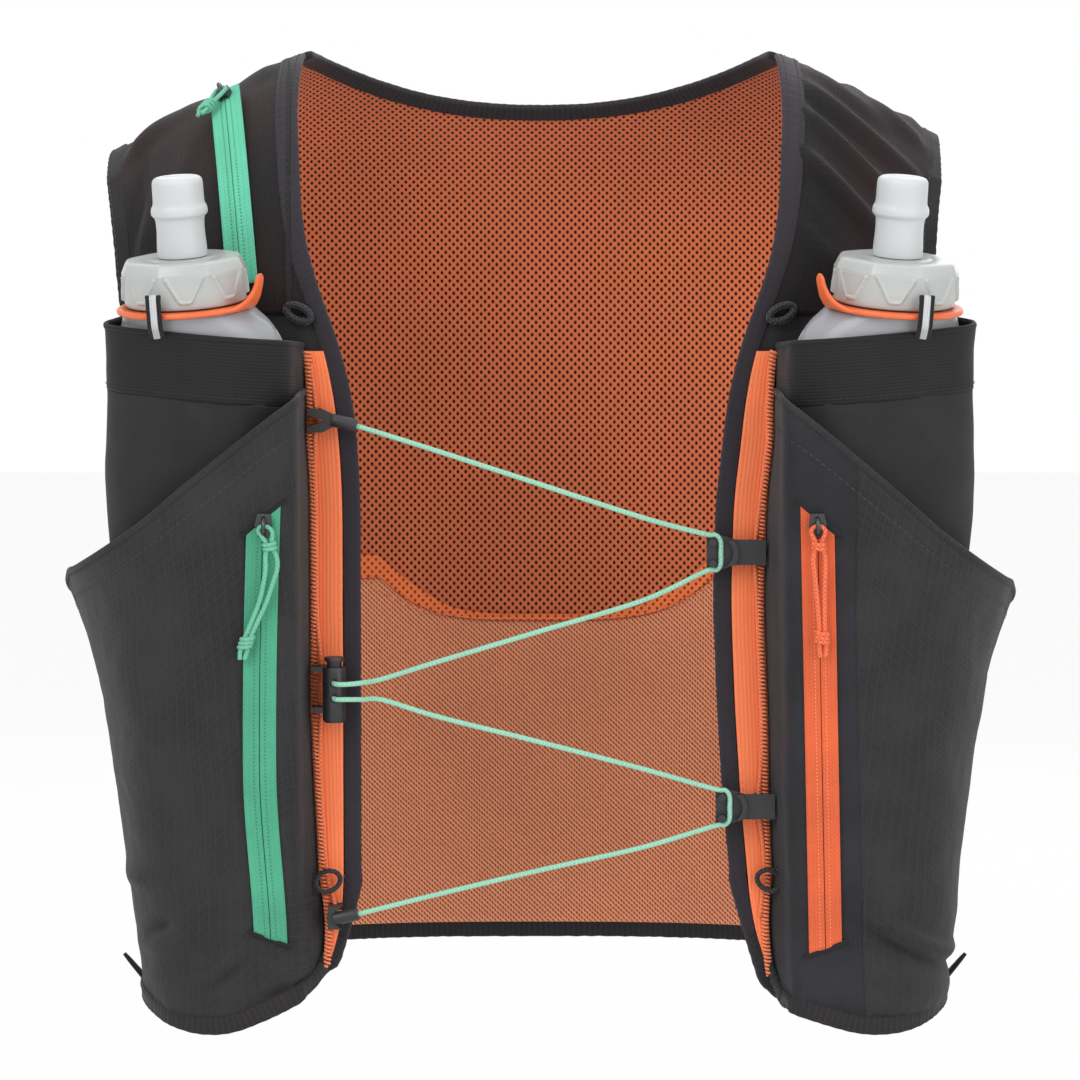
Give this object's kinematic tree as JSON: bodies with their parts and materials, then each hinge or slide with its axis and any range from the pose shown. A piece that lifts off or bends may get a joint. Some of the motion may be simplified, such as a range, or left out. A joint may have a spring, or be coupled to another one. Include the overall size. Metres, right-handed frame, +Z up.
{
  "type": "hydration pack",
  "caption": "Running hydration vest with soft flasks in chest pockets, zipped lower pockets, an open mesh back and a bungee chest closure on looped rails.",
  "frame": {"origin": "the middle of the wearer's torso, on the vest's middle plane", "axes": "+Z up along the wearer's spine, the front of the vest faces -Y, +X is the wearer's left. In the names left and right are a viewer's, looking at the front, so left is -X"},
  "size_m": [0.3808, 0.277, 0.386],
  "materials": {
    "black_stretch": "matte stretch knit",
    "black_ripstop": "matte ripstop weave",
    "black_binding": "matte folded binding tape",
    "navy_binding": "matte folded binding tape",
    "orange_mesh": "open spacer mesh",
    "salmon_mesh": "fine open weave",
    "orange_elastic": "ribbed elastic webbing",
    "orange_cord": "braided cord",
    "teal_tape": "woven zip tape",
    "orange_tape": "woven zip tape",
    "teal_cord": "braided cord",
    "mint_cord": "braided elastic cord",
    "black_cord": "braided elastic cord",
    "reflective_tape": "reflective woven tape",
    "grey_plastic": "moulded, fine grain",
    "black_plastic": "moulded, fine grain",
    "slider_metal": "dark painted die casting",
    "flask_film": "clear soft film",
    "cap_plastic": "frosted clear moulding",
    "valve_silicone": "clear moulded silicone",
    "seal_silicone": "moulded silicone",
    "ring_silicone": "moulded silicone",
    "spring_steel": "drawn wire"
  },
  "bodies": {
    "vest": {"back_mesh_upper": "orange_mesh", "back_mesh_lower": "salmon_mesh", "back_storage_panel": "black_stretch", "neck_binding": "black_binding", "back_hem_binding": "black_binding", "yoke_left": "black_ripstop", "yoke_right": "black_ripstop", "front_panel_left": "black_stretch", "front_panel_right": "black_stretch", "side_wing_left": "black_stretch", "side_wing_right": "black_stretch", "flask_pocket_left": "black_stretch", "flask_pocket_right": "black_stretch", "flask_pocket_band_left": "black_binding", "flask_pocket_band_right": "black_binding", "lower_pocket_left": "black_ripstop", "lower_pocket_right": "black_ripstop", "edge_binding_left": "navy_binding", "edge_binding_right": "navy_binding", "armhole_binding_left": "black_binding", "armhole_binding_right": "black_binding", "elastic_strip_left": "orange_elastic", "elastic_strip_right": "orange_elastic", "rail_cord_left": "orange_cord", "rail_cord_right": "orange_cord", "flask_keeper_left": "reflective_tape", "flask_keeper_right": "reflective_tape", "tube_loop_left": "black_cord", "tube_loop_right": "black_cord", "cord_loop_left": "black_cord", "cord_loop_right": "black_cord", "side_tab_left": "black_binding", "side_tab_right": "black_binding", "pocket_zip_left": "teal_tape", "pocket_zip_right": "orange_tape", "top_hook_left": "grey_plastic", "top_hook_right": "grey_plastic", "bottom_hook_left": "black_plastic", "bottom_hook_right": "grey_plastic", "shoulder_zip": "teal_tape", "cord_lock_barrel": "black_plastic", "cord_lock_spring": "spring_steel", "chest_cord": "mint_cord"},
    "flask_left": {"flask_body_left": "flask_film", "flask_ring_left": "ring_silicone"},
    "seal_left": {"cap_seal_left": "seal_silicone"},
    "cap_left": {"flask_cap_left": "cap_plastic", "bite_valve_left": "valve_silicone"},
    "pocket_slider_left": {"pocket_zip_slider_left": "slider_metal"},
    "pocket_pull_left": {"pocket_zip_pull_left": "teal_cord"},
    "flask_right": {"flask_body_right": "flask_film", "flask_ring_right": "ring_silicone"},
    "seal_right": {"cap_seal_right": "seal_silicone"},
    "cap_right": {"flask_cap_right": "cap_plastic", "bite_valve_right": "valve_silicone"},
    "pocket_slider_right": {"pocket_zip_slider_right": "slider_metal"},
    "pocket_pull_right": {"pocket_zip_pull_right": "orange_cord"},
    "shoulder_slider": {"shoulder_zip_slider": "slider_metal"},
    "shoulder_pull": {"shoulder_zip_pull": "teal_cord"},
    "lock_plunger": {"cord_lock_plunger": "grey_plastic"}
  },
  "joints": [
    {"name": "flask_left_lift", "type": "slide", "parent": "vest", "child": "flask_left", "axis": [-0.0607, -0.1045, 0.9927], "range_m": [0, 0.19]},
    {"name": "cap_left_lift", "type": "slide", "parent": "flask_left", "child": "seal_left", "axis": [-0.0607, -0.1045, 0.9927], "range_m": [0, 0.006]},
    {"name": "cap_left_turn", "type": "hinge", "parent": "seal_left", "child": "cap_left", "pos_m": [-0.138, -0.125, 0.104], "axis": [-0.0607, -0.1045, 0.9927], "range_deg": [0, 540]},
    {"name": "pocket_zip_left_run", "type": "slide", "parent": "vest", "child": "pocket_slider_left", "axis": [-0.0128, 0.1318, -0.9912], "range_m": [0, 0.155]},
    {"name": "pocket_pull_left_swing", "type": "hinge", "parent": "pocket_slider_left", "child": "pocket_pull_left", "pos_m": [-0.1069, -0.1513, 0.01848], "axis": [-0.9999, -0.0017, 0.0126], "range_deg": [0, 150]},
    {"name": "flask_right_lift", "type": "slide", "parent": "vest", "child": "flask_right", "axis": [0.0607, -0.1045, 0.9927], "range_m": [0, 0.19]},
    {"name": "cap_right_lift", "type": "slide", "parent": "flask_right", "child": "seal_right", "axis": [0.0607, -0.1045, 0.9927], "range_m": [0, 0.006]},
    {"name": "cap_right_turn", "type": "hinge", "parent": "seal_right", "child": "cap_right", "pos_m": [0.138, -0.125, 0.104], "axis": [0.0607, -0.1045, 0.9927], "range_deg": [0, 540]},
    {"name": "pocket_zip_right_run", "type": "slide", "parent": "vest", "child": "pocket_slider_right", "axis": [0.0298, 0.1318, -0.9908], "range_m": [0, 0.158]},
    {"name": "pocket_pull_right_swing", "type": "hinge", "parent": "pocket_slider_right", "child": "pocket_pull_right", "pos_m": [0.10742, -0.1513, 0.01848], "axis": [-0.9996, 0.0039, -0.0295], "range_deg": [0, 150]},
    {"name": "shoulder_zip_run", "type": "hinge", "parent": "vest", "child": "shoulder_slider", "pos_m": [-0.123, -0.0049, 0.0946], "axis": [0.9945, 0.0726, 0.0752], "range_deg": [0, 43]},
    {"name": "shoulder_pull_swing", "type": "hinge", "parent": "shoulder_slider", "child": "shoulder_pull", "pos_m": [-0.12912, -0.04065, 0.18669], "axis": [-0.9056, 0.0675, -0.4188], "range_deg": [0, 120]},
    {"name": "lock_press", "type": "slide", "parent": "vest", "child": "lock_plunger", "axis": [0, 0, -1], "range_m": [0, 0.002], "stiffness_N_per_m": 500, "springref_m": -0.004, "deforming": ["cord_lock_spring"]}
  ],
  "couplings": [
    {"joint": "cap_left_turn", "follows": "cap_left_lift", "rad_per_m": 1570.8},
    {"joint": "cap_right_turn", "follows": "cap_right_lift", "rad_per_m": 1570.8}
  ]
}
